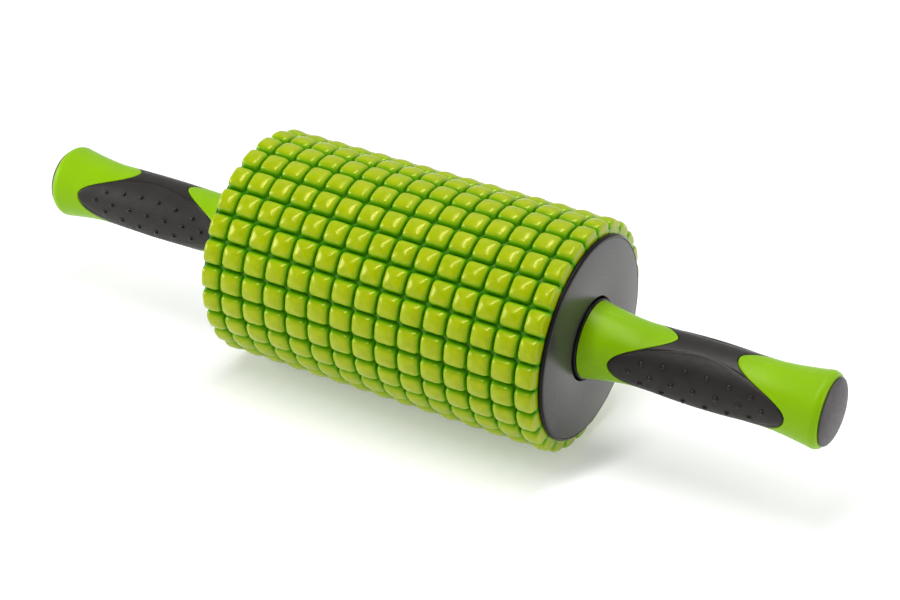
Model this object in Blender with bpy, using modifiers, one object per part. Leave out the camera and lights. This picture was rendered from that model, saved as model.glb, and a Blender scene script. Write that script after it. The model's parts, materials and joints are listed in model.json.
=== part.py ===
"""Foot massage roller: a nubbed foam barrel that spins on an axle between two handles.

Metres, +Z up. The axle lies along X, and the origin is the barrel's centre. Heights in the
turned profiles are distances from that centre along the axle, and each right-hand piece has
a left-hand twin. A row of nubs points straight down, so the barrel stands on flat crowns.
"""

from math import cos, pi, radians, sin

import bmesh
import bpy

COLLECTION_NAME = "foot_massage_roller"
SIDES = {"right": 1, "left": -1}
GAP = 0.0003

# Foam sleeve
NUB_ROWS = 26
NUB_PITCH = 0.014
WHOLE_COLUMNS = 13
SLEEVE_HALF = 0.1025
VALLEY_RADIUS = 0.060
NUB_HEIGHT = 0.0044
NUB_BEVEL = 0.0013
SLEEVE_BORE = 0.0483

# Core tube and end discs
ROUND_STEPS = 32
TUBE_WALL = 0.0035
DISC_RADIUS = 0.0571
DISC_FACE = 0.1052
DISC_BACK = SLEEVE_HALF + GAP
DISC_WEB = 0.0026
DISC_BEVEL = 0.0011
SPIGOT_WALL = 0.0025
SPIGOT_END = 0.084
HUB_HOLE = 0.0232
HUB_WALL = 0.0028
HUB_FLOOR = 0.0945
HUB_FLOOR_THICKNESS = 0.0025
HUB_LIP = 0.0005
BOSS_RADIUS = 0.0145
BOSS_BORE = 0.0113
BOSS_END = 0.076

# Axle, bushes, washers and clips
AXLE_STEPS = 16
AXLE_RADIUS = 0.00785
AXLE_END = 0.1497
AXLE_CHAMFER = 0.0008
THREAD_BORE = 0.0041
THREAD_DEPTH = 0.0217
BUSH_BORE = 0.0083
BUSH_FLANGE_RADIUS = 0.014
BUSH_FLANGE = 0.002
THRUST_RADIUS = 0.015
THRUST_THICKNESS = 0.001
CLIP_THICKNESS = 0.0012
CLIP_RADIUS = 0.012
CLIP_OPENING = 0.009
GROOVE_RADIUS = 0.0072

# Handles
HANDLE_STEPS = 24
HANDLE_TURN = {"right": radians(-1), "left": radians(12)}
COLLAR_START = HUB_FLOOR + 3 * GAP + BUSH_FLANGE + THRUST_THICKNESS
COLLAR_END = 0.1065
COLLAR_RADIUS = 0.0224
COLLAR_BEVEL = 0.0006
HANDLE_START = COLLAR_END + GAP
HANDLE_END = 0.2398
WAIST_RADIUS = 0.0174
BASE_FLARE = 0.0041
BASE_FLARE_FROM = 0.137
END_FLARE = 0.0035
END_FLARE_FROM = 0.206
FLARE_POWER = 1.5
FLARE_RINGS = 3
PAD_SWELL = 0.0006
PAD_MIDDLE = 0.1722
PAD_HALF_LENGTH = 0.0497
TONGUE_REACH = 0.0322
BASE_TONGUE_TIP = 0.1547
END_TONGUE_TIP = 0.1897
BASE_TONGUE_POWER = 2.8
END_TONGUE_POWER = 3.3
GRIP_THICKNESS = 0.002
GRIP_SEAM = 0.0004
GRIP_RINGS = 5
RIM_ROUND = 0.004
RIM_STEPS = 3
AXLE_SOCKET = 0.0082
SOCKET_FLOOR = 0.150
BOLT_WALL = 0.156
BOLT_HOLE = 0.0045
POCKET_RADIUS = 0.011
CAP_BORE = 0.0158
CAP_SEAT = 0.2312

# End caps
CAP_STEPS = 24
CAP_RADIUS = 0.0184
CAP_DOME = 0.0062
CAP_DOME_RINGS = 4
CAP_PLUG_RADIUS = 0.0155
CAP_PLUG_WALL = 0.0025

# Handle bolts
BOLT_RADIUS = 0.0037
BOLT_TIP = 0.135
BOLT_HEAD_RADIUS = 0.0075
BOLT_HEAD = 0.005
WASHER_RADIUS = 0.009
WASHER_THICKNESS = 0.0013

COLOURS = {
    "lime_foam": ((0.50, 0.62, 0.02), 0.42, 0.0),
    "lime_plastic": ((0.28, 0.55, 0.01), 0.35, 0.0),
    "black_rubber": ((0.030, 0.028, 0.026), 0.60, 0.0),
    "black_plastic": ((0.040, 0.038, 0.037), 0.35, 0.0),
    "grey_plastic": ((0.11, 0.10, 0.105), 0.55, 0.0),
    "white_acetal": ((0.85, 0.85, 0.82), 0.40, 0.0),
    "bright_steel": ((0.55, 0.55, 0.56), 0.30, 1.0),
}


def clear_scene():
    for obj in list(bpy.data.objects):
        bpy.data.objects.remove(obj, do_unlink=True)


def new_collection(name, hidden=False):
    collection = bpy.data.collections.new(name)
    collection.hide_render = hidden
    bpy.context.scene.collection.children.link(collection)
    return collection


def make_materials():
    for name, (colour, roughness, metallic) in COLOURS.items():
        material = bpy.data.materials.new(name)
        material.use_nodes = True
        shader = material.node_tree.nodes["Principled BSDF"]
        shader.inputs["Base Color"].default_value = (*colour, 1)
        shader.inputs["Roughness"].default_value = roughness
        shader.inputs["Metallic"].default_value = metallic


def axis_empty(name):
    empty = bpy.data.objects.new(name, None)
    empty.empty_display_type = "SINGLE_ARROW"
    parts.objects.link(empty)
    return empty


def add_object(name, bm, material, parent):
    mesh = bpy.data.meshes.new(name)
    bm.to_mesh(mesh)
    bm.free()
    obj = bpy.data.objects.new(name, mesh)
    if material:
        mesh.materials.append(bpy.data.materials[material])
        parts.objects.link(obj)
    else:
        obj.hide_render = True
        obj.display_type = "WIRE"
        cutters.objects.link(obj)
    obj.parent = parent
    return obj


def point_outward(obj, side):
    """Turns the object so that its local +Z runs along the axle, away from the barrel."""
    obj.rotation_euler = (0, side * pi / 2, 0)
    return obj


def turned(name, profile, steps, material, parent, side=1, closed=True):
    """A turned piece. The profile's (radius, height) points run down its outer side."""
    bm = bmesh.new()
    verts = [bm.verts.new((radius, 0, height)) for radius, height in profile]
    for first, second in zip(verts, verts[1:]):
        bm.edges.new((first, second))
    if closed:
        bm.edges.new((verts[-1], verts[0]))
    obj = add_object(name, bm, material, parent)
    screw = obj.modifiers.new("turn", "SCREW")
    screw.axis = "Z"
    screw.steps = steps
    screw.render_steps = steps
    screw.use_merge_vertices = True
    screw.merge_threshold = 0.00001
    return point_outward(obj, side)


def ring_profile(inner, outer, low, high):
    return [(outer, high), (outer, low), (inner, low), (inner, high)]


def cut(obj, cutter, operation="DIFFERENCE"):
    modifier = obj.modifiers.new(cutter.name, "BOOLEAN")
    modifier.operation = operation
    modifier.solver = "EXACT"
    modifier.object = cutter


def cylinder_cutter(name, radius, steps, low, high, parent, side=1):
    bm = bmesh.new()
    bmesh.ops.create_cone(
        bm, cap_ends=True, segments=steps, radius1=radius, radius2=radius, depth=high - low
    )
    bmesh.ops.translate(bm, verts=bm.verts, vec=(0, 0, (low + high) / 2))
    return point_outward(add_object(name, bm, None, parent), side)


# Barrel


def make_foam_sleeve(barrel):
    bm = bmesh.new()
    bmesh.ops.create_cone(
        bm,
        cap_ends=True,
        segments=NUB_ROWS,
        radius1=VALLEY_RADIUS,
        radius2=VALLEY_RADIUS,
        depth=2 * SLEEVE_HALF,
    )
    for groove in range(WHOLE_COLUMNS + 1):
        height = (groove - WHOLE_COLUMNS / 2) * NUB_PITCH
        whole = bm.verts[:] + bm.edges[:] + bm.faces[:]
        bmesh.ops.bisect_plane(bm, geom=whole, plane_co=(0, 0, height), plane_no=(0, 0, 1))
    cells = [face for face in bm.faces if abs(face.normal.z) < 0.5]
    bmesh.ops.inset_individual(bm, faces=cells, thickness=NUB_BEVEL, depth=NUB_HEIGHT)
    sleeve = point_outward(add_object("foam_sleeve", bm, "lime_foam", barrel), 1)
    bore = cylinder_cutter(
        "sleeve_bore", SLEEVE_BORE, ROUND_STEPS, -2 * SLEEVE_HALF, 2 * SLEEVE_HALF, barrel
    )
    cut(sleeve, bore)


def make_core_tube(barrel):
    outer = SLEEVE_BORE - GAP
    profile = ring_profile(outer - TUBE_WALL, outer, -SLEEVE_HALF, SLEEVE_HALF)
    turned("core_tube", profile, ROUND_STEPS, "black_plastic", barrel)


def make_end_disc(name, side, barrel):
    spigot = SLEEVE_BORE - 2 * GAP - TUBE_WALL
    web_back = DISC_FACE - DISC_WEB
    hub_outer = HUB_HOLE + HUB_WALL
    hub_back = HUB_FLOOR - HUB_FLOOR_THICKNESS
    profile = [
        (DISC_RADIUS - DISC_BEVEL, DISC_FACE),
        (DISC_RADIUS, DISC_FACE - DISC_BEVEL),
        (DISC_RADIUS, DISC_BACK),
        (spigot, DISC_BACK),
        (spigot, SPIGOT_END),
        (spigot - SPIGOT_WALL, SPIGOT_END),
        (spigot - SPIGOT_WALL, web_back),
        (hub_outer, web_back),
        (hub_outer, hub_back),
        (BOSS_RADIUS, hub_back),
        (BOSS_RADIUS, BOSS_END),
        (BOSS_BORE, BOSS_END),
        (BOSS_BORE, HUB_FLOOR),
        (HUB_HOLE, HUB_FLOOR),
        (HUB_HOLE, DISC_FACE - HUB_LIP),
        (HUB_HOLE + HUB_LIP, DISC_FACE),
    ]
    turned(name, profile, ROUND_STEPS, "black_plastic", barrel, side)


def make_bush(name, side, barrel):
    outer = BOSS_BORE - GAP
    seat = HUB_FLOOR + GAP
    profile = [
        (BUSH_FLANGE_RADIUS, seat + BUSH_FLANGE),
        (BUSH_FLANGE_RADIUS, seat),
        (outer, seat),
        (outer, BOSS_END),
        (BUSH_BORE, BOSS_END),
        (BUSH_BORE, seat + BUSH_FLANGE),
    ]
    turned(name, profile, AXLE_STEPS, "white_acetal", barrel, side)


# Axle


def make_axle(frame):
    groove_top = BOSS_END - GAP
    groove_bottom = groove_top - CLIP_THICKNESS - 2 * GAP
    half = [
        (0, AXLE_END - THREAD_DEPTH),
        (THREAD_BORE, AXLE_END - THREAD_DEPTH),
        (THREAD_BORE, AXLE_END),
        (AXLE_RADIUS - AXLE_CHAMFER, AXLE_END),
        (AXLE_RADIUS, AXLE_END - AXLE_CHAMFER),
        (AXLE_RADIUS, groove_top),
        (GROOVE_RADIUS, groove_top),
        (GROOVE_RADIUS, groove_bottom),
        (AXLE_RADIUS, groove_bottom),
    ]
    mirrored = [(radius, -height) for radius, height in reversed(half)]
    turned("axle", half + mirrored, AXLE_STEPS, "bright_steel", frame, closed=False)


def make_clip(name, side, frame):
    high = BOSS_END - 2 * GAP
    low = high - CLIP_THICKNESS
    profile = ring_profile(GROOVE_RADIUS + GAP, CLIP_RADIUS, low, high)
    clip = turned(name, profile, AXLE_STEPS, "bright_steel", frame, side)
    bm = bmesh.new()
    bmesh.ops.create_cube(bm, size=1)
    bmesh.ops.scale(bm, verts=bm.verts, vec=(2 * CLIP_RADIUS, CLIP_OPENING, 4 * CLIP_THICKNESS))
    bmesh.ops.translate(bm, verts=bm.verts, vec=(CLIP_RADIUS, 0, (low + high) / 2))
    cut(clip, point_outward(add_object(name + "_mouth", bm, None, frame), side))


def make_thrust_washer(name, side, frame):
    low = HUB_FLOOR + 2 * GAP + BUSH_FLANGE
    profile = ring_profile(BUSH_BORE, THRUST_RADIUS, low, low + THRUST_THICKNESS)
    turned(name, profile, AXLE_STEPS, "white_acetal", frame, side)


def make_collar(name, side, frame):
    profile = [
        (COLLAR_RADIUS - COLLAR_BEVEL, COLLAR_END),
        (COLLAR_RADIUS, COLLAR_END - COLLAR_BEVEL),
        (COLLAR_RADIUS, COLLAR_START),
        (AXLE_SOCKET, COLLAR_START),
        (AXLE_SOCKET, COLLAR_END),
    ]
    turned(name, profile, ROUND_STEPS, "black_plastic", frame, side)


# Handles


def ease(value):
    """0 to 1 with level ends."""
    value = min(max(value, 0), 1)
    return value * value * (3 - 2 * value)


def handle_radius(height):
    base = max(BASE_FLARE_FROM - height, 0) / (BASE_FLARE_FROM - HANDLE_START)
    end = max(height - END_FLARE_FROM, 0) / (HANDLE_END - RIM_ROUND - END_FLARE_FROM)
    swell = 1 - ease(abs(height - PAD_MIDDLE) / PAD_HALF_LENGTH)
    flare = base**FLARE_POWER * BASE_FLARE + min(end, 1) ** FLARE_POWER * END_FLARE
    return WAIST_RADIUS + flare + swell * PAD_SWELL


def grip_start(angle):
    """Where the rubber begins. The angle is counted from the middle of its pad."""
    return BASE_TONGUE_TIP - TONGUE_REACH * abs(cos(angle)) ** BASE_TONGUE_POWER


def grip_finish(angle):
    return END_TONGUE_TIP + TONGUE_REACH * abs(cos(angle)) ** END_TONGUE_POWER


def along_grip(share, inset):
    """A ring that runs with the grip's own edges: share 0 at the base, 1 at the end."""

    def height(angle):
        start = grip_start(angle) + inset
        return start + share * (grip_finish(angle) - inset - start)

    return height


def between(low, high, share):
    return lambda angle: low(angle) + share * (high(angle) - low(angle))


def level(height):
    return lambda angle: height


def looped_loft(name, rings, side, turn, material, parent):
    """Joins rings of (height of angle, depth under the handle's surface, or fixed radius)."""
    bm = bmesh.new()
    loops = []
    for height, depth, radius in rings:
        loop = []
        for step in range(HANDLE_STEPS):
            angle = 2 * pi * step / HANDLE_STEPS
            x = height(angle)
            r = radius if depth is None else handle_radius(x) - depth
            loop.append(bm.verts.new((side * x, -r * cos(angle), r * sin(angle))))
        loops.append(loop)
    for ring, following in zip(loops, loops[1:] + loops[:1]):
        for step in range(HANDLE_STEPS):
            after = (step + 1) % HANDLE_STEPS
            bm.faces.new((ring[step], ring[after], following[after], following[step]))
    bmesh.ops.recalc_face_normals(bm, faces=bm.faces)
    obj = add_object(name, bm, material, parent)
    obj.rotation_euler = (-turn, 0, 0)
    return obj


def make_handle_body(name, side, turn, frame):
    recess = GRIP_THICKNESS + GAP
    start = along_grip(0, -GRIP_SEAM)
    finish = along_grip(1, -GRIP_SEAM)
    rim = HANDLE_END - RIM_ROUND
    flare_shares = [step / FLARE_RINGS for step in range(FLARE_RINGS + 1)]
    rings = [(between(level(HANDLE_START), start, share), 0, None) for share in flare_shares]
    rings += [
        (along_grip(share / GRIP_RINGS, -GRIP_SEAM), recess, None)
        for share in range(GRIP_RINGS + 1)
    ]
    rings += [(between(finish, level(rim), share), 0, None) for share in flare_shares]
    for step in range(1, RIM_STEPS + 1):
        bend = step / RIM_STEPS * pi / 2
        height = rim + RIM_ROUND * sin(bend)
        rings.append((level(height), (1 - cos(bend)) * RIM_ROUND / 2, None))
    rings += [
        (level(HANDLE_END), None, CAP_BORE),
        (level(CAP_SEAT), None, CAP_BORE),
        (level(CAP_SEAT), None, POCKET_RADIUS),
        (level(BOLT_WALL), None, POCKET_RADIUS),
        (level(BOLT_WALL), None, BOLT_HOLE),
        (level(SOCKET_FLOOR), None, BOLT_HOLE),
        (level(SOCKET_FLOOR), None, AXLE_SOCKET),
        (level(HANDLE_START), None, AXLE_SOCKET),
    ]
    looped_loft(name, rings, side, turn, "lime_plastic", frame)


def make_grip(name, side, turn, frame):
    shares = [step / GRIP_RINGS for step in range(GRIP_RINGS + 1)]
    rings = [(along_grip(share, 0), GRIP_THICKNESS, None) for share in shares]
    rings += [(along_grip(share, 0), 0, None) for share in reversed(shares)]
    looped_loft(name, rings, side, turn, "black_rubber", frame)


def make_end_cap(name, side, frame):
    base = HANDLE_END + GAP
    plug_end = CAP_SEAT + GAP
    dome = []
    for ring in range(CAP_DOME_RINGS + 1):
        bend = ring / CAP_DOME_RINGS * pi / 2
        dome.append((CAP_RADIUS * sin(bend), base + CAP_DOME * cos(bend)))
    profile = dome + [
        (CAP_PLUG_RADIUS, base),
        (CAP_PLUG_RADIUS, plug_end),
        (CAP_PLUG_RADIUS - CAP_PLUG_WALL, plug_end),
        (CAP_PLUG_RADIUS - CAP_PLUG_WALL, base),
        (0, base + CAP_PLUG_WALL),
    ]
    turned(name, profile, CAP_STEPS, "grey_plastic", frame, side, closed=False)


def make_bolt(name, side, frame):
    head_low = BOLT_WALL + 2 * GAP + WASHER_THICKNESS
    profile = [
        (0, head_low + BOLT_HEAD / 2),
        (BOLT_RADIUS, head_low + BOLT_HEAD / 2),
        (BOLT_RADIUS, BOLT_TIP),
        (0, BOLT_TIP),
    ]
    bolt = turned(name, profile, AXLE_STEPS, "bright_steel", frame, side, closed=False)
    head = cylinder_cutter(
        name + "_head", BOLT_HEAD_RADIUS, 6, head_low, head_low + BOLT_HEAD, frame, side
    )
    cut(bolt, head, "UNION")


def make_bolt_washer(name, side, frame):
    low = BOLT_WALL + GAP
    profile = ring_profile(BOLT_HOLE, WASHER_RADIUS, low, low + WASHER_THICKNESS)
    turned(name, profile, AXLE_STEPS, "bright_steel", frame, side)


clear_scene()
parts = new_collection(COLLECTION_NAME)
cutters = new_collection("cutters", hidden=True)
make_materials()
barrel_axis = axis_empty("barrel_axis")
handle_frame = axis_empty("handle_frame")

make_foam_sleeve(barrel_axis)
make_core_tube(barrel_axis)
make_axle(handle_frame)
for hand, direction in SIDES.items():
    make_end_disc(hand + "_end_disc", direction, barrel_axis)
    make_bush(hand + "_bearing_bush", direction, barrel_axis)
    make_clip(hand + "_axle_clip", direction, handle_frame)
    make_thrust_washer(hand + "_thrust_washer", direction, handle_frame)
    make_collar(hand + "_collar", direction, handle_frame)
    make_handle_body(hand + "_handle_body", direction, HANDLE_TURN[hand], handle_frame)
    make_grip(hand + "_grip", direction, HANDLE_TURN[hand], handle_frame)
    make_end_cap(hand + "_end_cap", direction, handle_frame)
    make_bolt(hand + "_handle_bolt", direction, handle_frame)
    make_bolt_washer(hand + "_bolt_washer", direction, handle_frame)
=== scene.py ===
"""Looks of the foot massage roller: moulded foam nubs, plastic handles, rubber grips and discs.

Metres, +Z up, in the frame's own coordinates. The axle lies along X. An angle is counted round
the axle from the front, which is -Y, towards +Z.
"""

import json
from math import atan2, cos, exp, hypot, pi, radians, sin

import bmesh
import bpy
from mathutils import Matrix, Vector


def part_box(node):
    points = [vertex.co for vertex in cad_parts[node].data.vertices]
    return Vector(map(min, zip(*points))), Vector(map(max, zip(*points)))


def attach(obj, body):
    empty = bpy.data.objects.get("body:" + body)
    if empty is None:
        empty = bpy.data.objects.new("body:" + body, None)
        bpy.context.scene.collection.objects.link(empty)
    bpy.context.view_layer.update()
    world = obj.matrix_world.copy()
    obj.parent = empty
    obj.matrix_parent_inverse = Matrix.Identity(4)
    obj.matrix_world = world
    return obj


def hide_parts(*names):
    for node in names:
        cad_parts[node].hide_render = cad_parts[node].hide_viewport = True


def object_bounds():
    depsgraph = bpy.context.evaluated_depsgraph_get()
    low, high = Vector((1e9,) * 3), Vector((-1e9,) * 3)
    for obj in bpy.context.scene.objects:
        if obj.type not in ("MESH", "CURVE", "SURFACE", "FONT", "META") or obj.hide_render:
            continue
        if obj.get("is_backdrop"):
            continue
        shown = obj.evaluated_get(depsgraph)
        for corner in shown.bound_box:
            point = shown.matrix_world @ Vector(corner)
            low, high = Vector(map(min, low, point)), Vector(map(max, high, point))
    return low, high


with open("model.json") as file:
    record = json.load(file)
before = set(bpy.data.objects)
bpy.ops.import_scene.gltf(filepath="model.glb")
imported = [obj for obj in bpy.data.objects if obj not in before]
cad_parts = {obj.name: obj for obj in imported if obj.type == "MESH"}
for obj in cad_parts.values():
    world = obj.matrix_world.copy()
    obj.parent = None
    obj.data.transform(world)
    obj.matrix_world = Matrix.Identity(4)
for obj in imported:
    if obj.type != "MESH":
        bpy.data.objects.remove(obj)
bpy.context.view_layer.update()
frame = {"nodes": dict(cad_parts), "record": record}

SIDES = {"right": 1, "left": -1}
GAP = 0.0003
CRISP_EDGE = radians(35)
MOULDED_EDGE = radians(50)

# Sizes read from the frame
SLEEVE_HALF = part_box("foam_sleeve")[1].x
DISC_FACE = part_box("right_end_disc")[1].x
DISC_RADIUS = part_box("right_end_disc")[1].z
DISC_SPIGOT_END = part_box("right_end_disc")[0].x
COLLAR_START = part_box("right_collar")[0].x
COLLAR_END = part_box("right_collar")[1].x
COLLAR_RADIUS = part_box("right_collar")[1].z
HANDLE_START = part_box("right_handle_body")[0].x
HANDLE_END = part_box("right_handle_body")[1].x
CAP_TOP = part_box("right_end_cap")[1].x
CAP_PLUG_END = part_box("right_end_cap")[0].x
CAP_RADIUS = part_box("right_end_cap")[1].z
TUBE_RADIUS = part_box("core_tube")[1].z

# Foam nubs. A pair is (reach, height), as shares of half a cell and of the nub's height
NUB_ROWS = 26
NUB_COLUMNS = 15
NUB_PITCH = 0.014
NUB_HEIGHT = 0.0054
NUB_PROUD = 0.0004
CROWN_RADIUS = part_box("foam_sleeve")[1].y + NUB_PROUD
VALLEY_RADIUS = CROWN_RADIUS - NUB_HEIGHT
HALF_CELL = pi / NUB_ROWS
NUB_CROWN_SQUARENESS = 3.4
NUB_FOOT_SQUARENESS = 7.5
NUB_DOME_DROP = 0.15
NUB_DOME_REACH = 0.62
NUB_DOME_STEPS = 5
NUB_SHOULDER = (0.865, 0.72)
NUB_WALL_FOOT = (0.955, 0.13)
NUB_FOOT = (0.995, 0)
SHOULDER_ROUNDING = 0.28
FOOT_ROUNDING = 0.08
NUB_ROUNDING_STEPS = 6
NUB_SLIMNESS = 0.02
NUB_SIDE_POINTS = 8
WELD_DISTANCE = 0.00001
END_TIGHTNESS = 0.8
END_BULGE = 0.0004
# Painted light on the sleeve's end walls, fading in from the end; the gaps between them keep the
# painted shade
END_WALL_LIGHT = 0.84
END_WALL_LIGHT_FROM = 0.002
END_WALL_LIGHT_FADE = 0.0015
END_GAP_SHADE_FADE = 0.4

# Disc
ROUND_STEPS = 160
DISC_BACK = SLEEVE_HALF + GAP
DISC_BEVEL = 0.0011
DISC_WEB = 0.0026
HUB_HOLE = 0.0232
HUB_WALL = 0.0028
HUB_FLOOR = 0.0945
HUB_FLOOR_WALL = 0.0025
HUB_LIP = 0.0006
BOSS_RADIUS = 0.0145
BOSS_BORE = 0.0113
BOSS_END = 0.076
SPIGOT_RADIUS = TUBE_RADIUS - 0.0038
SPIGOT_WALL = 0.0025
EDGE_GROOVE = 0.0553
EDGE_GROOVE_WIDTH = 0.0006
EDGE_GROOVE_DEPTH = 0.0003
BEVEL_ROUND = 0.0004
LIP_ROUND = 0.0002
GROOVE_ROUND = 0.0001

# Collar
COLLAR_ROUND = 0.0010
COLLAR_BACK_ROUND = 0.0004

# Handle profile
HANDLE_STEPS = 192
HANDLE_TURN = {"right": radians(-1), "left": radians(12)}
WAIST_RADIUS = 0.0174
BASE_FLARE = 0.0041
BASE_FLARE_FROM = 0.137
END_FLARE = 0.0035
END_FLARE_FROM = 0.206
FLARE_POWER = 1.5
PAD_SWELL = 0.0006
PAD_MIDDLE = 0.1722
PAD_HALF_LENGTH = 0.0497
TONGUE_REACH = 0.0322
BASE_TONGUE_TIP = 0.1553
END_TONGUE_TIP = 0.1894
TONGUE_MIDDLE = radians(83.5)
BASE_TONGUE_POWER = 1.9
END_TONGUE_POWER = 2.6
BACK_TONGUE_POWER = 1.5
PARTING_RISE = 0.0002
PARTING_WIDTH = 0.001
RIM_ROUND = 0.004
RIM_DEPTH = 0.6
AXLE_SOCKET = 0.0082
BASE_RINGS = 28
RECESS_RINGS = 16
END_RINGS = 24
RIM_RINGS = 8

# Cap
CAP_BORE = 0.0158
CAP_SEAT = 0.2312
CAP_UNDERCUT = 0.0005
CAP_DROP = 0.0012
CAP_DOME_POWER = 1.1
CAP_DOME_STEPS = 20
CAP_WALL = 0.0025

# Rubber grip
GRIP_THICKNESS = 0.002
GRIP_SEAM = 0.0004
EDGE_ROUND = 0.0005
EDGE_BENDS = (pi / 6, pi / 3, pi / 2)
GRIP_RINGS = 130
PAD_DOME = 0.0010
PAD_DOME_POWER = 0.6
PAD_ARC = radians(62)
PAD_REACH = 0.051
PAD_LEAF = 1.5
CREASE_DEPTH = 0.00035
CREASE_WIDTH = 0.055
SADDLE_FROM = 0.93
SADDLE_FADE = 0.1
SADDLE_SMOOTHNESS = 0.5

# Raised dots: one line along the middle of a pad, and a bowed line on each side of it
DOT_RADIUS = 0.0014
DOT_RISE = 0.0014
MIDDLE_DOTS = 7
MIDDLE_DOT_STEP = 0.0124
OUTER_DOTS = 6
OUTER_DOT_STEP = 0.0122
OUTER_DOT_ARC = radians(29)
OUTER_DOT_BOW = radians(1.5)

# Studio. Each light is a name, place, aim, size and power in watts
LIGHTS = [
    ("strip_softbox", (-0.05, -0.15, 1.3), (0, 0, 0), (0.16, 1.6), 18),
    ("left_softbox", (-0.9, -0.45, 0.3), (0, 0, 0), (0.4, 0.4), 4.5),
    ("disc_softbox", (0.35, 0.15, 0.42), (0.105, 0, 0.02), (0.25, 0.25), 0.12),
    ("right_softbox", (1.4, 0.1, 0.45), (0, 0, 0), (0.5, 0.5), 4),
]
DARK_SIDE_Y, DARK_STRENGTH = -0.3, 0.03
BRIGHT_SIDE_Y, BRIGHT_STRENGTH = 0.5, 0.8
FLOOR_HALF = 6
FLOOR_CELLS = 40
FLAT_FLOOR_RADIUS = 3
SWEEP_CURVE = 0.25
CAMERA_PLACE = (0.5294, -0.9031, 0.6381)
CAMERA_FORWARD = (-0.41888, 0.7404, -0.5257)
CAMERA_ROLL = radians(0.48)
CAMERA_LENS = 89.24
CAMERA_SENSOR = 36


def ease(value):
    """0 to 1 with level ends."""
    value = min(max(value, 0), 1)
    return value * value * (3 - 2 * value)


# Materials


def new_material(name, colour, roughness, metallic=0.0):
    """A material and its Principled shader, which the detail is then linked to."""
    material = bpy.data.materials.new(name)
    material.use_nodes = True
    shader = material.node_tree.nodes["Principled BSDF"]
    shader.inputs["Base Color"].default_value = (*colour, 1)
    shader.inputs["Roughness"].default_value = roughness
    shader.inputs["Metallic"].default_value = metallic
    return material, shader


def noise(material, scale, detail=2.0, stretch=(1, 1, 1)):
    """Noise in the object's own coordinates, scale per metre."""
    nodes, links = material.node_tree.nodes, material.node_tree.links
    place = nodes.new("ShaderNodeTexCoord")
    mapping = nodes.new("ShaderNodeMapping")
    mapping.inputs["Scale"].default_value = stretch
    texture = nodes.new("ShaderNodeTexNoise")
    texture.inputs["Scale"].default_value = scale
    texture.inputs["Detail"].default_value = detail
    links.new(place.outputs["Object"], mapping.inputs["Vector"])
    links.new(mapping.outputs["Vector"], texture.inputs["Vector"])
    return texture.outputs["Fac"]


def ramp(material, value, stops):
    """A colour ramp of (position, colour) stops."""
    node = material.node_tree.nodes.new("ShaderNodeValToRGB")
    elements = node.color_ramp.elements
    while len(elements) < len(stops):
        elements.new(0.5)
    for element, (position, colour) in zip(elements, stops):
        element.position = position
        element.color = (*colour, 1)
    material.node_tree.links.new(value, node.inputs["Fac"])
    return node.outputs["Color"]


def remap(material, value, low, high, start=0.3, end=0.7):
    """Takes start..end to low..high. The defaults suit noise, which seldom leaves them."""
    node = material.node_tree.nodes.new("ShaderNodeMapRange")
    node.inputs["From Min"].default_value = start
    node.inputs["From Max"].default_value = end
    node.inputs["To Min"].default_value = low
    node.inputs["To Max"].default_value = high
    material.node_tree.links.new(value, node.inputs["Value"])
    return node.outputs["Result"]


def bump(material, shader, heights):
    """Chains bumps of (height output, strength, distance in metres)."""
    previous = None
    for height, strength, distance in heights:
        node = material.node_tree.nodes.new("ShaderNodeBump")
        node.inputs["Strength"].default_value = strength
        node.inputs["Distance"].default_value = distance
        material.node_tree.links.new(height, node.inputs["Height"])
        if previous:
            material.node_tree.links.new(previous, node.inputs["Normal"])
        previous = node.outputs["Normal"]
    material.node_tree.links.new(previous, shader.inputs["Normal"])


def stored(material, name):
    """A number that the mesh holds at each vertex."""
    node = material.node_tree.nodes.new("ShaderNodeAttribute")
    node.attribute_name = name
    return node.outputs["Fac"]


def multiply(material, first, second):
    node = material.node_tree.nodes.new("ShaderNodeVectorMath")
    node.operation = "MULTIPLY"
    material.node_tree.links.new(first, node.inputs[0])
    material.node_tree.links.new(second, node.inputs[1])
    return node.outputs["Vector"]


def shade(tone, factor):
    return tuple(channel * factor for channel in tone)


def make_foam_material():
    """Moulded EVA: a smooth satin skin with mottled colour, and painted shade: darker, greener
    colour down the nub walls and between the nubs.
    """
    tone, yellower = (0.285, 0.375, 0.0005), (0.325, 0.39, 0.001)
    material, shader = new_material("moulded_foam", tone, 0.30)
    links = material.node_tree.links
    stops = [(0.30, shade(tone, 0.92)), (0.52, tone), (0.75, yellower)]
    mottle = ramp(material, noise(material, 200, 2), stops)
    # Painted shade: the lower a point sits on its nub, by the stored crown height, the darker and
    # greener it is painted
    valley_shade_stops = [
        (0, (0.08, 0.45, 0.1)),
        (0.35, (0.30, 0.88, 0.3)),
        (0.6, (0.66, 1, 0.7)),
        (0.82, (1, 1, 1)),
    ]
    depth = ramp(material, stored(material, "crown"), valley_shade_stops)
    links.new(multiply(material, mottle, depth), shader.inputs["Base Color"])
    links.new(remap(material, noise(material, 300, 1), 0.23, 0.26), shader.inputs["Roughness"])
    shader.inputs["Specular IOR Level"].default_value = 0.5
    shader.inputs["Specular Tint"].default_value = (1.0, 0.9, 0.3, 1)
    cells, waves = noise(material, 3200, 2), noise(material, 300, 1)
    bump(material, shader, [(waves, 0.04, 0.00025), (cells, 0.01, 0.00004)])
    return material


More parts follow.
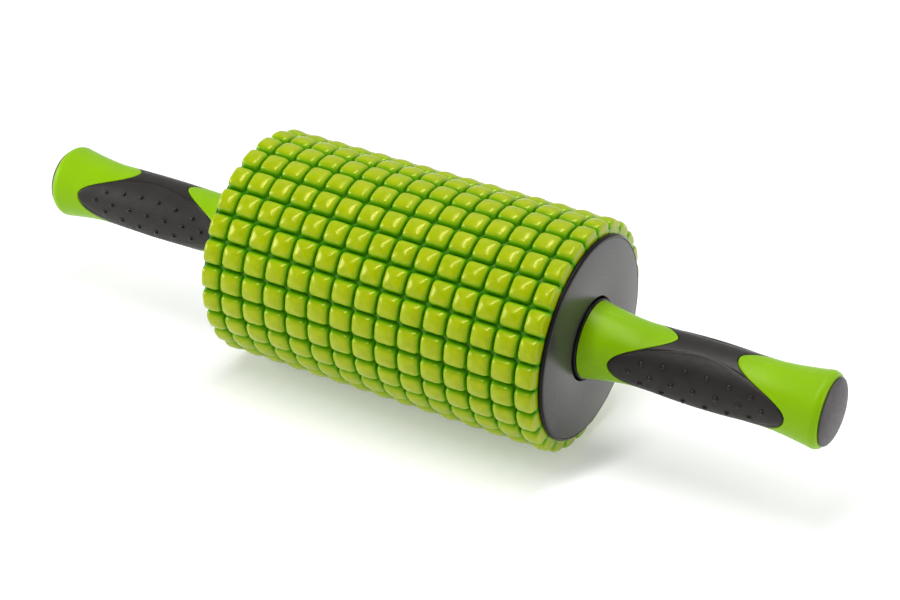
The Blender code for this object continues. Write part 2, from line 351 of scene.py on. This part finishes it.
def make_lime_plastic():
    """Injection-moulded polypropylene with a fine satin texture."""
    tone = (0.205, 0.41, 0.0005)
    material, shader = new_material("lime_moulding", tone, 0.36)
    shader.inputs["Specular IOR Level"].default_value = 0.2
    shader.inputs["Specular Tint"].default_value = (0.95, 1.0, 0.5, 1)
    stops = [(0.30, shade(tone, 0.95)), (0.70, shade(tone, 1.04))]
    links = material.node_tree.links
    links.new(ramp(material, noise(material, 40, 2), stops), shader.inputs["Base Color"])
    links.new(remap(material, noise(material, 700, 2), 0.32, 0.40), shader.inputs["Roughness"])
    bump(material, shader, [(noise(material, 4200, 1), 0.10, 0.00004)])
    return material


def make_rubber():
    """Soft-touch rubber with a fine grain, smoother between the pads and glossiest on the dots."""
    tone = (0.014, 0.0118, 0.0102)
    material, shader = new_material("grip_rubber", tone, 0.48)
    shader.inputs["Specular IOR Level"].default_value = 0.26
    stops = [(0.30, shade(tone, 0.85)), (0.72, shade(tone, 1.30))]
    links = material.node_tree.links
    links.new(ramp(material, noise(material, 60, 4), stops), shader.inputs["Base Color"])
    smooth = remap(material, stored(material, "saddle"), 0.52, 0.22, 0, 1)
    patches = remap(material, noise(material, 350, 3), 0.9, 1.12)
    blend = material.node_tree.nodes.new("ShaderNodeMath")
    blend.operation = "MULTIPLY"
    links.new(smooth, blend.inputs[0])
    links.new(patches, blend.inputs[1])
    links.new(blend.outputs["Value"], shader.inputs["Roughness"])
    bump(material, shader, [(noise(material, 3600, 2), 0.16, 0.00006)])
    return material


def make_black_plastic(name, tone, specular):
    """Satin black ABS with faint patches, and painted shade wherever the mesh says it is off the
    face, or holds no such mark at all: darker colour and less shine there.
    """
    material, shader = new_material(name, tone, 0.26)
    links = material.node_tree.links
    stops = [(0.30, shade(tone, 0.93)), (0.72, shade(tone, 1.10))]
    patches = ramp(material, noise(material, 30, 3), stops)
    face = stored(material, "face")
    # Painted shade: off the face the colour drops to a fifth and the shine to a quarter
    rim_shade = ramp(material, face, [(0, (0.2, 0.2, 0.2)), (1, (1, 1, 1))])
    shine = remap(material, face, specular / 4, specular, 0, 1)
    links.new(multiply(material, patches, rim_shade), shader.inputs["Base Color"])
    links.new(shine, shader.inputs["Specular IOR Level"])
    links.new(remap(material, noise(material, 40, 2), 0.25, 0.28), shader.inputs["Roughness"])
    bump(material, shader, [(noise(material, 600, 1), 0.02, 0.00004)])
    return material


def make_grey_plastic():
    """Grey-black end cap, finely grained."""
    tone = (0.062, 0.056, 0.060)
    material, shader = new_material("grained_grey", tone, 0.5)
    stops = [(0.30, shade(tone, 0.90)), (0.72, shade(tone, 1.15))]
    links = material.node_tree.links
    links.new(ramp(material, noise(material, 90, 3), stops), shader.inputs["Base Color"])
    links.new(remap(material, noise(material, 420, 3), 0.44, 0.58), shader.inputs["Roughness"])
    bump(material, shader, [(noise(material, 3000, 2), 0.30, 0.00008)])
    return material


def make_acetal():
    """Milky white bearing plastic with turning marks round the axle."""
    tone = (0.80, 0.80, 0.76)
    material, shader = new_material("white_bearing", tone, 0.38)
    stops = [(0.30, shade(tone, 0.94)), (0.72, tone)]
    links = material.node_tree.links
    links.new(ramp(material, noise(material, 150, 2), stops), shader.inputs["Base Color"])
    links.new(remap(material, noise(material, 300, 2), 0.34, 0.46), shader.inputs["Roughness"])
    bump(material, shader, [(noise(material, 90, 2, (40, 1, 1)), 0.15, 0.00004)])
    return material


def make_steel():
    """Ground bar: fine marks run round the axle, so the noise is squeezed along it."""
    tone = (0.55, 0.55, 0.56)
    material, shader = new_material("ground_steel", tone, 0.3, 1.0)
    marks = noise(material, 60, 3, (60, 1, 1))
    stops = [(0.30, shade(tone, 0.85)), (0.72, shade(tone, 1.12))]
    links = material.node_tree.links
    links.new(ramp(material, marks, stops), shader.inputs["Base Color"])
    links.new(remap(material, marks, 0.22, 0.40), shader.inputs["Roughness"])
    bump(material, shader, [(marks, 0.20, 0.00003)])
    return material


def make_floor_material():
    """Pale matt studio paper, lit a little from behind."""
    tone = (0.80, 0.80, 0.80)
    material, shader = new_material("studio_paper", tone, 0.9)
    shader.inputs["Emission Color"].default_value = (1, 1, 1, 1)
    shader.inputs["Emission Strength"].default_value = 0.27
    stops = [(0.30, shade(tone, 0.99)), (0.72, tone)]
    paper = ramp(material, noise(material, 4, 2), stops)
    material.node_tree.links.new(paper, shader.inputs["Base Color"])
    return material


# Meshes


def add_mesh(name, vertices, faces, material, sharp=CRISP_EDGE):
    mesh = bpy.data.meshes.new(name)
    mesh.from_pydata(vertices, [], faces)
    return add_object(name, mesh, material, sharp)


def add_object(name, mesh, material, sharp=CRISP_EDGE):
    mesh.validate()
    mesh.materials.clear()
    mesh.materials.append(material)
    mesh.shade_smooth()
    mesh.set_sharp_from_angle(angle=sharp)
    obj = bpy.data.objects.new(name, mesh)
    bpy.context.scene.collection.objects.link(obj)
    return obj


def dress(obj, body, slot, *nodes):
    """Fixes a finished piece to its body, in place of the CAD nodes that it stands for."""
    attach(obj, body)
    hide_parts(*nodes)


def fix_normals(obj):
    bm = bmesh.new()
    bm.from_mesh(obj.data)
    bmesh.ops.recalc_face_normals(bm, faces=bm.faces)
    bm.to_mesh(obj.data)
    bm.free()


def rounded(profile, corners, steps=4):
    """Rounds some corners of a profile, given as {index: how far along its sides}."""
    result = []
    count = len(profile)
    for index, point in enumerate(profile):
        reach = corners.get(index)
        if not reach:
            result.append(point)
            continue
        here = Vector(point)
        before = Vector(profile[index - 1]) - here
        after = Vector(profile[(index + 1) % count]) - here
        start, end = here + before.normalized() * reach, here + after.normalized() * reach
        for step in range(steps + 1):
            share = step / steps
            outer = start.lerp(here, share)
            result.append(tuple(outer.lerp(here.lerp(end, share), share)))
    return result


def revolve(name, profile, side, material, closed=True):
    """Turns a profile of (x, radius) about the axle. A radius of 0 is one point."""
    vertices, rings = [], []
    for x, radius in profile:
        count = ROUND_STEPS if radius > 0 else 1
        rings.append(range(len(vertices), len(vertices) + count))
        for step in range(count):
            angle = 2 * pi * step / count
            vertices.append((side * x, -radius * cos(angle), radius * sin(angle)))
    faces = []
    pairs = list(zip(rings, rings[1:]))
    if closed:
        pairs.append((rings[-1], rings[0]))
    for ring, following in pairs:
        for step in range(ROUND_STEPS):
            after = (step + 1) % ROUND_STEPS
            corners = [ring[step % len(ring)], ring[after % len(ring)]]
            corners += [following[after % len(following)], following[step % len(following)]]
            faces.append(list(dict.fromkeys(corners)))
    obj = add_mesh(name, vertices, faces, material)
    fix_normals(obj)
    return obj


# Foam sleeve


def square_direction(step, per_side):
    """A point on the edge of the unit square, going round it."""
    side, along = divmod(step, per_side)
    along = 2 * along / per_side - 1
    return [(1, along), (-along, 1), (-1, -along), (along, -1)][side]


def nub_outline(u, v, height):
    """How far the rounded square reaches towards (u, v), a point on the unit square's edge."""
    power = NUB_FOOT_SQUARENESS + height * (NUB_CROWN_SQUARENESS - NUB_FOOT_SQUARENESS)
    return (abs(u) ** power + abs(v) ** power) ** (-1 / power)


def nub_profile():
    """(reach, height) pairs from the crown to the foot, without the crown's middle point."""
    dome = []
    for step in range(NUB_DOME_STEPS + 1):
        share = step / NUB_DOME_STEPS
        dome.append((share * NUB_DOME_REACH, 1 - NUB_DOME_DROP * share**2))
    corners = dome + [NUB_SHOULDER, NUB_WALL_FOOT, NUB_FOOT]
    softness = {len(dome): SHOULDER_ROUNDING, len(dome) + 1: FOOT_ROUNDING}
    return rounded(corners, softness, NUB_ROUNDING_STEPS)[1:]


def nub_points(middle, profile, directions):
    """One cell of the foam as (x, across, rise), laid out flat, with its nub at a middle x."""
    half_pitch = NUB_PITCH / 2
    low = max(middle - half_pitch, -SLEEVE_HALF) - middle
    high = min(middle + half_pitch, SLEEVE_HALF) - middle
    points = [(middle, 0, NUB_HEIGHT)]
    for reach, height in profile:
        half_width = VALLEY_RADIUS * sin(HALF_CELL) * (1 - NUB_SLIMNESS * height)
        for u, v in directions:
            edge = nub_outline(u, v, height) * reach
            half = high if u > 0 else -low
            if half < half_pitch - GAP:
                tight = 1 - END_TIGHTNESS * (1 - edge)
                x = middle + u * tight * (half + END_BULGE * height)
            else:
                x = middle + u * edge * half
            points.append((x, v * edge * half_width, height * NUB_HEIGHT))
    for u, v in directions:
        x = middle + (u * high if u > 0 else -u * low)
        points.append((x, VALLEY_RADIUS * sin(v * HALF_CELL), 0))
    return points


def nub_sheet():
    """Vertices and faces of all the cells, wrapped round the axle."""
    count = 4 * NUB_SIDE_POINTS
    directions = [square_direction(step, NUB_SIDE_POINTS) for step in range(count)]
    profile = nub_profile()
    vertices, faces = [], []
    for column in range(NUB_COLUMNS):
        middle = (column - (NUB_COLUMNS - 1) / 2) * NUB_PITCH
        points = nub_points(middle, profile, directions)
        for row in range(NUB_ROWS):
            centre = -pi / 2 + row * 2 * HALF_CELL
            first = len(vertices)
            out = Vector((0, -cos(centre), sin(centre)))
            up = Vector((0, sin(centre), cos(centre)))
            for x, across, rise in points:
                floor = (VALLEY_RADIUS**2 - across**2) ** 0.5
                place = out * (floor + rise) + up * across
                vertices.append((x, place.y, place.z))
            for step in range(count):
                after = (step + 1) % count
                faces.append((first, first + 1 + step, first + 1 + after))
                for ring in range(len(profile)):
                    here = first + 1 + ring * count
                    there = here + count
                    faces.append((here + step, there + step, there + after, here + after))
    return vertices, faces


def close_sleeve(mesh):
    """Welds the cells, and adds the two end faces and the bore."""
    bm = bmesh.new()
    bm.from_mesh(mesh)
    bmesh.ops.remove_doubles(bm, verts=bm.verts, dist=WELD_DISTANCE)
    bore = TUBE_RADIUS + GAP
    for end in (-1, 1):
        rim = [edge for edge in bm.edges if edge.is_boundary and edge.verts[0].co.x * end > 0]
        grown = bmesh.ops.extrude_edge_only(bm, edges=rim)["geom"]
        for vert in [item for item in grown if isinstance(item, bmesh.types.BMVert)]:
            radial = Vector((0, vert.co.y, vert.co.z)).normalized() * bore
            vert.co = (end * SLEEVE_HALF, radial.y, radial.z)
    rims = [edge for edge in bm.edges if edge.is_boundary]
    bmesh.ops.bridge_loops(bm, edges=rims)
    bmesh.ops.recalc_face_normals(bm, faces=bm.faces)
    bm.to_mesh(mesh)
    bm.free()


def mark_nub_shade(mesh):
    """Stores how high a point is on its nub, which sets the painted shade low on the nubs. The end
    walls count as high, so they are painted as lit, but their gaps keep the painted shade.
    """
    crown = mesh.attributes.new("crown", "FLOAT", "POINT")
    for vert, item in zip(mesh.vertices, crown.data):
        share = (hypot(vert.co.y, vert.co.z) - VALLEY_RADIUS) / NUB_HEIGHT
        at_end = ease((abs(vert.co.x) - SLEEVE_HALF + END_WALL_LIGHT_FROM) / END_WALL_LIGHT_FADE)
        cell = (atan2(vert.co.z, -vert.co.y) + pi / 2) / (2 * HALF_CELL)
        off_middle = 2 * abs(cell - round(cell))
        item.value = max(share, END_WALL_LIGHT * at_end * ease((1 - off_middle) / END_GAP_SHADE_FADE))


def make_foam(material):
    """One sheet of moulded nubs, closed by its end faces and its bore."""
    vertices, faces = nub_sheet()
    mesh = bpy.data.meshes.new("nubbed_foam")
    mesh.from_pydata(vertices, [], faces)
    close_sleeve(mesh)
    mark_nub_shade(mesh)
    foam = add_object("nubbed_foam", mesh, material, MOULDED_EDGE)
    dress(foam, "barrel", "lime_foam", "foam_sleeve")


# Discs and collars


def make_disc(name, side, material):
    """A web with a bevelled rim, a spigot into the core tube, and a hub round the axle."""
    web_back = DISC_FACE - DISC_WEB
    hub_outer = HUB_HOLE + HUB_WALL
    hub_back = HUB_FLOOR - HUB_FLOOR_WALL
    groove = DISC_FACE - EDGE_GROOVE_DEPTH
    profile = [
        (DISC_FACE, EDGE_GROOVE + EDGE_GROOVE_WIDTH),
        (DISC_FACE, DISC_RADIUS - DISC_BEVEL),
        (DISC_FACE - DISC_BEVEL, DISC_RADIUS),
        (DISC_BACK, DISC_RADIUS),
        (DISC_BACK, SPIGOT_RADIUS),
        (DISC_SPIGOT_END, SPIGOT_RADIUS),
        (DISC_SPIGOT_END, SPIGOT_RADIUS - SPIGOT_WALL),
        (web_back, SPIGOT_RADIUS - SPIGOT_WALL),
        (web_back, hub_outer),
        (hub_back, hub_outer),
        (hub_back, BOSS_RADIUS),
        (BOSS_END, BOSS_RADIUS),
        (BOSS_END, BOSS_BORE),
        (HUB_FLOOR, BOSS_BORE),
        (HUB_FLOOR, HUB_HOLE),
        (DISC_FACE - HUB_LIP, HUB_HOLE),
        (DISC_FACE, HUB_HOLE + HUB_LIP),
        (DISC_FACE, EDGE_GROOVE),
        (groove, EDGE_GROOVE),
        (groove, EDGE_GROOVE + EDGE_GROOVE_WIDTH),
    ]
    corners = dict.fromkeys((1, 2, 3), BEVEL_ROUND)
    corners.update(dict.fromkeys((15, 16), LIP_ROUND))
    corners.update(dict.fromkeys((0, 17), GROOVE_ROUND))
    disc = revolve(name, rounded(profile, corners, 3), side, material)
    # Marks the face with 1; the rim and the hub hole get 0, where the material paints shade
    face = disc.data.attributes.new("face", "FLOAT", "POINT")
    for vert, item in zip(disc.data.vertices, face.data):
        item.value = 1 if abs(vert.co.x) > DISC_FACE - EDGE_GROOVE_DEPTH / 2 else 0
    return disc


def make_collar(name, side, material):
    """The ring round the base of a handle."""
    profile = [
        (COLLAR_END, AXLE_SOCKET),
        (COLLAR_END, COLLAR_RADIUS),
        (COLLAR_START, COLLAR_RADIUS),
        (COLLAR_START, AXLE_SOCKET),
    ]
    corners = {1: COLLAR_ROUND, 2: COLLAR_BACK_ROUND}
    return revolve(name, rounded(profile, corners, 5), side, material)


def make_cap(name, side, material):
    """A domed cap with a softly rounded edge, and its plug."""
    base = HANDLE_END + GAP
    rise = CAP_TOP - CAP_DROP - CAP_UNDERCUT - base
    dome = []
    for step in range(CAP_DOME_STEPS + 1):
        bend = step / CAP_DOME_STEPS * pi / 2
        x = CAP_UNDERCUT + base + rise * cos(bend) ** CAP_DOME_POWER
        dome.append((x, CAP_RADIUS * sin(bend)))
    profile = dome + [
        (base, CAP_RADIUS - CAP_UNDERCUT),
        (base, CAP_BORE - GAP),
        (CAP_PLUG_END, CAP_BORE - GAP),
        (CAP_PLUG_END, CAP_BORE - GAP - CAP_WALL),
        (base, CAP_BORE - GAP - CAP_WALL),
        (base + CAP_WALL, 0),
    ]
    return revolve(name, profile, side, material, closed=False)


# Handles


def handle_radius(height):
    """The handle's outline. Height is the distance from the barrel's middle, along the axle."""
    base = max(BASE_FLARE_FROM - height, 0) / (BASE_FLARE_FROM - HANDLE_START)
    end = max(height - END_FLARE_FROM, 0) / (HANDLE_END - RIM_ROUND - END_FLARE_FROM)
    swell = 1 - ease(abs(height - PAD_MIDDLE) / PAD_HALF_LENGTH)
    flare = base**FLARE_POWER * BASE_FLARE + min(end, 1) ** FLARE_POWER * END_FLARE
    return WAIST_RADIUS + flare + swell * PAD_SWELL


def tongue_share(angle, front_power):
    """0 at the tip of a green tongue, 1 at the middle of a pad. The same after half a turn."""
    along = angle % pi
    if along < TONGUE_MIDDLE:
        return abs(cos(along / TONGUE_MIDDLE * pi / 2)) ** front_power
    return abs(cos((pi - along) / (pi - TONGUE_MIDDLE) * pi / 2)) ** BACK_TONGUE_POWER


def grip_start(angle):
    """Where the rubber begins. The angle is counted from the middle of its pad."""
    return BASE_TONGUE_TIP - TONGUE_REACH * tongue_share(angle, BASE_TONGUE_POWER)


def grip_finish(angle):
    """Where the rubber ends."""
    return END_TONGUE_TIP + TONGUE_REACH * tongue_share(angle, END_TONGUE_POWER)


def pad_offness(height, angle):
    """0 in the middle of a leaf-shaped pad, 1 on its edge, more outside it."""
    off = min(abs((angle + pi) % (2 * pi) - pi), abs(angle % (2 * pi) - pi))
    return (off / PAD_ARC) ** PAD_LEAF + (abs(height - PAD_MIDDLE) / PAD_REACH) ** PAD_LEAF


def pad_dome(height, angle):
    """How far the pads stand out, at the front and at the back, inside their creases."""
    out = pad_offness(height, angle)
    crease = CREASE_DEPTH * exp(-(((out - 1) / CREASE_WIDTH) ** 2))
    return PAD_DOME * max(1 - out ** (2 / PAD_LEAF), 0) ** PAD_DOME_POWER - crease


def loft(name, rings, side, turn, material, sharp=CRISP_EDGE):
    """Joins rings, each a function of angle that gives (x, radius), into one closed band."""
    vertices, faces = [], []
    for ring in rings:
        for step in range(HANDLE_STEPS):
            angle = 2 * pi * step / HANDLE_STEPS
            x, radius = ring(angle)
            place = angle + turn
            vertices.append((side * x, -radius * cos(place), radius * sin(place)))
    for index in range(len(rings)):
        here = index * HANDLE_STEPS
        there = (index + 1) % len(rings) * HANDLE_STEPS
        for step in range(HANDLE_STEPS):
            after = (step + 1) % HANDLE_STEPS
            faces.append((here + step, here + after, there + after, there + step))
    obj = add_mesh(name, vertices, faces, material, sharp)
    fix_normals(obj)
    return obj


def on_surface(height, depth=0.0):
    """A ring at a height that may change with the angle, that deep under the surface."""

    def ring(angle):
        x = height(angle)
        on_parting = depth == 0 and abs(cos(angle)) < PARTING_WIDTH
        return x, handle_radius(x) - depth + (PARTING_RISE if on_parting else 0)

    return ring


def fixed(x, radius):
    """A plain round ring."""
    return lambda angle: (x, radius)


def between(low, high, share):
    """A height that is a share of the way between two others, at every angle."""
    return lambda angle: low(angle) + share * (high(angle) - low(angle))


def level(height):
    return lambda angle: height


def shifted(height, distance):
    return lambda angle: height(angle) + distance


def shares(count):
    return [step / count for step in range(count + 1)]


def make_handle(name, side, turn, material):
    """The green shell: a recess for the rubber, a rounded rim, and the axle's socket."""
    start = shifted(grip_start, -GRIP_SEAM / 2)
    finish = shifted(grip_finish, GRIP_SEAM / 2)
    recess = GRIP_THICKNESS + GAP
    rim = HANDLE_END - RIM_ROUND
    foot, last = level(HANDLE_START), shifted(start, -EDGE_ROUND)
    rings = [on_surface(between(foot, last, share)) for share in shares(BASE_RINGS)]
    for bend in EDGE_BENDS:
        height = shifted(start, -EDGE_ROUND * (1 - sin(bend)))
        rings.append(on_surface(height, EDGE_ROUND * (1 - cos(bend))))
    rings += [on_surface(between(start, finish, share), recess) for share in shares(RECESS_RINGS)]
    for bend in reversed(EDGE_BENDS):
        height = shifted(finish, EDGE_ROUND * (1 - sin(bend)))
        rings.append(on_surface(height, EDGE_ROUND * (1 - cos(bend))))
    first = shifted(finish, EDGE_ROUND)
    rings += [on_surface(between(first, level(rim), share)) for share in shares(END_RINGS)]
    for share in shares(RIM_RINGS)[1:]:
        bend = share * pi / 2
        depth = (1 - cos(bend)) * RIM_ROUND * RIM_DEPTH
        rings.append(on_surface(level(rim + RIM_ROUND * sin(bend)), depth))
    rings += [
        fixed(HANDLE_END, CAP_BORE),
        fixed(CAP_SEAT, CAP_BORE),
        fixed(CAP_SEAT, AXLE_SOCKET),
        fixed(HANDLE_START, AXLE_SOCKET),
    ]
    return loft(name, rings, side, turn, material)


def make_grip(name, side, turn, material):
    """The rubber sleeve, from its inside to its rounded edges and its outside."""

    def ring_at(share, depth, inset):
        def ring(angle):
            low, high = grip_start(angle) + inset, grip_finish(angle) - inset
            x = low + share * (high - low)
            dome = pad_dome(x, angle) if depth < GRIP_THICKNESS / 2 else 0
            return x, handle_radius(x) - depth + dome

        return ring

    def edge_ring(share, bend):
        inset = GRIP_SEAM / 2 + EDGE_ROUND * (1 - sin(bend))
        return ring_at(share, EDGE_ROUND * (1 - cos(bend)), inset)

    inside = reversed(shares(RECESS_RINGS))
    rings = [ring_at(share, GRIP_THICKNESS, GRIP_SEAM / 2) for share in inside]
    rings += [edge_ring(0, bend) for bend in reversed(EDGE_BENDS)]
    rings += [ring_at(share, 0, GRIP_SEAM / 2 + EDGE_ROUND) for share in shares(GRIP_RINGS)]
    rings += [edge_ring(1, bend) for bend in EDGE_BENDS]
    return loft(name, rings, side, turn, material, MOULDED_EDGE)


def dot_places():
    """(height, angle) of the raised dots of one pad."""
    places = []
    for step in range(MIDDLE_DOTS):
        off = step - (MIDDLE_DOTS - 1) / 2
        places.append((PAD_MIDDLE + off * MIDDLE_DOT_STEP, 0))
    for step in range(OUTER_DOTS):
        off = step - (OUTER_DOTS - 1) / 2
        arc = OUTER_DOT_ARC - OUTER_DOT_BOW * off * off
        places += [(PAD_MIDDLE + off * OUTER_DOT_STEP, sign * arc) for sign in (-1, 1)]
    return places


def make_dots(name, side, turn, material):
    """All the dots of one grip, half sunk into it."""
    bm = bmesh.new()
    for pad in (0, pi):
        for x, off in dot_places():
            angle = pad + off
            place = angle + turn
            radius = handle_radius(x) + pad_dome(x, angle)
            outward = Vector((0, -cos(place), sin(place)))
            spot = Vector((side * x, radius * outward.y, radius * outward.z))
            lean = Vector((0, 0, 1)).rotation_difference(outward).to_matrix().to_4x4()
            squash = Matrix.Diagonal((DOT_RADIUS, DOT_RADIUS, DOT_RISE, 1))
            matrix = Matrix.Translation(spot) @ lean @ squash
            bmesh.ops.create_uvsphere(bm, u_segments=20, v_segments=12, radius=1, matrix=matrix)
    mesh = bpy.data.meshes.new(name)
    bm.to_mesh(mesh)
    bm.free()
    return add_object(name, mesh, material)


def mark_saddle(obj, turn):
    """Stores how smooth the rubber is: 0 on the pads, more between them, 1 on the dots."""
    saddle = obj.data.attributes.new("saddle", "FLOAT", "POINT")
    for vert, item in zip(obj.data.vertices, saddle.data):
        angle, x = atan2(vert.co.z, -vert.co.y) - turn, abs(vert.co.x)
        surface = handle_radius(x) + pad_dome(x, angle)
        on_dot = hypot(vert.co.y, vert.co.z) > surface + DOT_RISE / 5
        off_pad = ease((pad_offness(x, angle) - SADDLE_FROM) / SADDLE_FADE)
        item.value = 1 if on_dot else SADDLE_SMOOTHNESS * off_pad


def join_with(obj, other):
    """Boolean union, applied. The other object is used up."""
    modifier = obj.modifiers.new("union", "BOOLEAN")
    modifier.operation = "UNION"
    modifier.solver = "EXACT"
    modifier.object = other
    graph = bpy.context.evaluated_depsgraph_get()
    joined = bpy.data.meshes.new_from_object(obj.evaluated_get(graph))
    obj.modifiers.clear()
    obj.data = joined
    bpy.data.objects.remove(other)
    joined.shade_smooth()
    joined.set_sharp_from_angle(angle=MOULDED_EDGE)


# Studio


def make_floor(material, height):
    """A paper sweep: flat under the object, and curving up far away all round it."""
    bm = bmesh.new()
    bmesh.ops.create_grid(bm, x_segments=FLOOR_CELLS, y_segments=FLOOR_CELLS, size=FLOOR_HALF)
    for vert in bm.verts:
        away = max(vert.co.length - FLAT_FLOOR_RADIUS, 0)
        vert.co.z = height + away * away * SWEEP_CURVE
    mesh = bpy.data.meshes.new("floor")
    bm.to_mesh(mesh)
    bm.free()
    add_object("floor", mesh, material)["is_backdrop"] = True


def add_light(name, place, aim, size, power):
    data = bpy.data.lights.new(name, "AREA")
    data.shape = "RECTANGLE"
    data.size, data.size_y = size
    data.energy = power
    light = bpy.data.objects.new(name, data)
    light.location = place
    light.rotation_mode = "QUATERNION"
    light.rotation_quaternion = (Vector(aim) - Vector(place)).to_track_quat("-Z", "Y")
    bpy.context.scene.collection.objects.link(light)


def make_studio():
    """A world that is darker on the camera's side, and the lights."""
    world = bpy.data.worlds.new("studio")
    world.use_nodes = True
    nodes, links = world.node_tree.nodes, world.node_tree.links
    place = nodes.new("ShaderNodeTexCoord")
    split = nodes.new("ShaderNodeSeparateXYZ")
    strength = nodes.new("ShaderNodeMapRange")
    strength.inputs["From Min"].default_value = DARK_SIDE_Y
    strength.inputs["From Max"].default_value = BRIGHT_SIDE_Y
    strength.inputs["To Min"].default_value = DARK_STRENGTH
    strength.inputs["To Max"].default_value = BRIGHT_STRENGTH
    links.new(place.outputs["Generated"], split.inputs["Vector"])
    links.new(split.outputs["Y"], strength.inputs["Value"])
    links.new(strength.outputs["Result"], nodes["Background"].inputs["Strength"])
    nodes["Background"].inputs["Color"].default_value = (1, 1, 1, 1)
    bpy.context.scene.world = world
    for light in LIGHTS:
        add_light(*light)
    bpy.context.scene.view_settings.view_transform = "Standard"


def make_camera():
    """Looks down at the right end of the roller from the front."""
    data = bpy.data.cameras.new("camera")
    data.lens = CAMERA_LENS
    data.sensor_width = CAMERA_SENSOR
    data.clip_start, data.clip_end = 0.05, 50
    camera = bpy.data.objects.new("camera", data)
    forward = Vector(CAMERA_FORWARD).normalized()
    camera.location = CAMERA_PLACE
    level_right = forward.cross(Vector((0, 0, 1))).normalized()
    up = level_right.cross(forward)
    turn = Matrix((level_right, up, -forward)).transposed()
    roll = Matrix.Rotation(CAMERA_ROLL, 3, "Z")
    camera.rotation_mode = "QUATERNION"
    camera.rotation_quaternion = (turn @ roll).to_quaternion()
    bpy.context.scene.collection.objects.link(camera)
    bpy.context.scene.camera = camera


make_camera()
foam = make_foam_material()
lime = make_lime_plastic()
rubber = make_rubber()
black = make_black_plastic("satin_black", (0.036, 0.033, 0.033), 0.42)
grey = make_grey_plastic()
acetal = make_acetal()
steel = make_steel()

make_foam(foam)
for hand, direction in SIDES.items():
    turn = HANDLE_TURN[hand]
    disc = make_disc(hand + "_disc_cover", direction, black)
    dress(disc, "barrel", "black_plastic", hand + "_end_disc")
    # The collar holds no face mark, so its material paints shade all over it
    collar = make_collar(hand + "_collar_ring", direction, black)
    dress(collar, "handle_frame", "black_plastic", hand + "_collar")
    handle = make_handle(hand + "_handle_shell", direction, turn, lime)
    dress(handle, "handle_frame", "lime_plastic", hand + "_handle_body")
    grip = make_grip(hand + "_grip_sleeve", direction, turn, rubber)
    join_with(grip, make_dots(hand + "_dots", direction, turn, rubber))
    mark_saddle(grip, turn)
    dress(grip, "handle_frame", "black_rubber", hand + "_grip")
    cap = make_cap(hand + "_cap_dome", direction, grey)
    dress(cap, "handle_frame", "grey_plastic", hand + "_end_cap")

# The CAD nodes that stay as they are: core tube, axle, bearings and fasteners
# Any black nodes hold no face mark either, so they too take the painted shade all over
NODE_MATERIALS = {"black_plastic": black, "white_acetal": acetal, "bright_steel": steel}
for part in frame["record"]["subparts"]:
    node = frame["nodes"][part["node"]]
    if part["material_slot"] in NODE_MATERIALS and not node.hide_render:
        node.data.materials.clear()
        node.data.materials.append(NODE_MATERIALS[part["material_slot"]])

make_floor(make_floor_material(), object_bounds()[0].z)
make_studio()
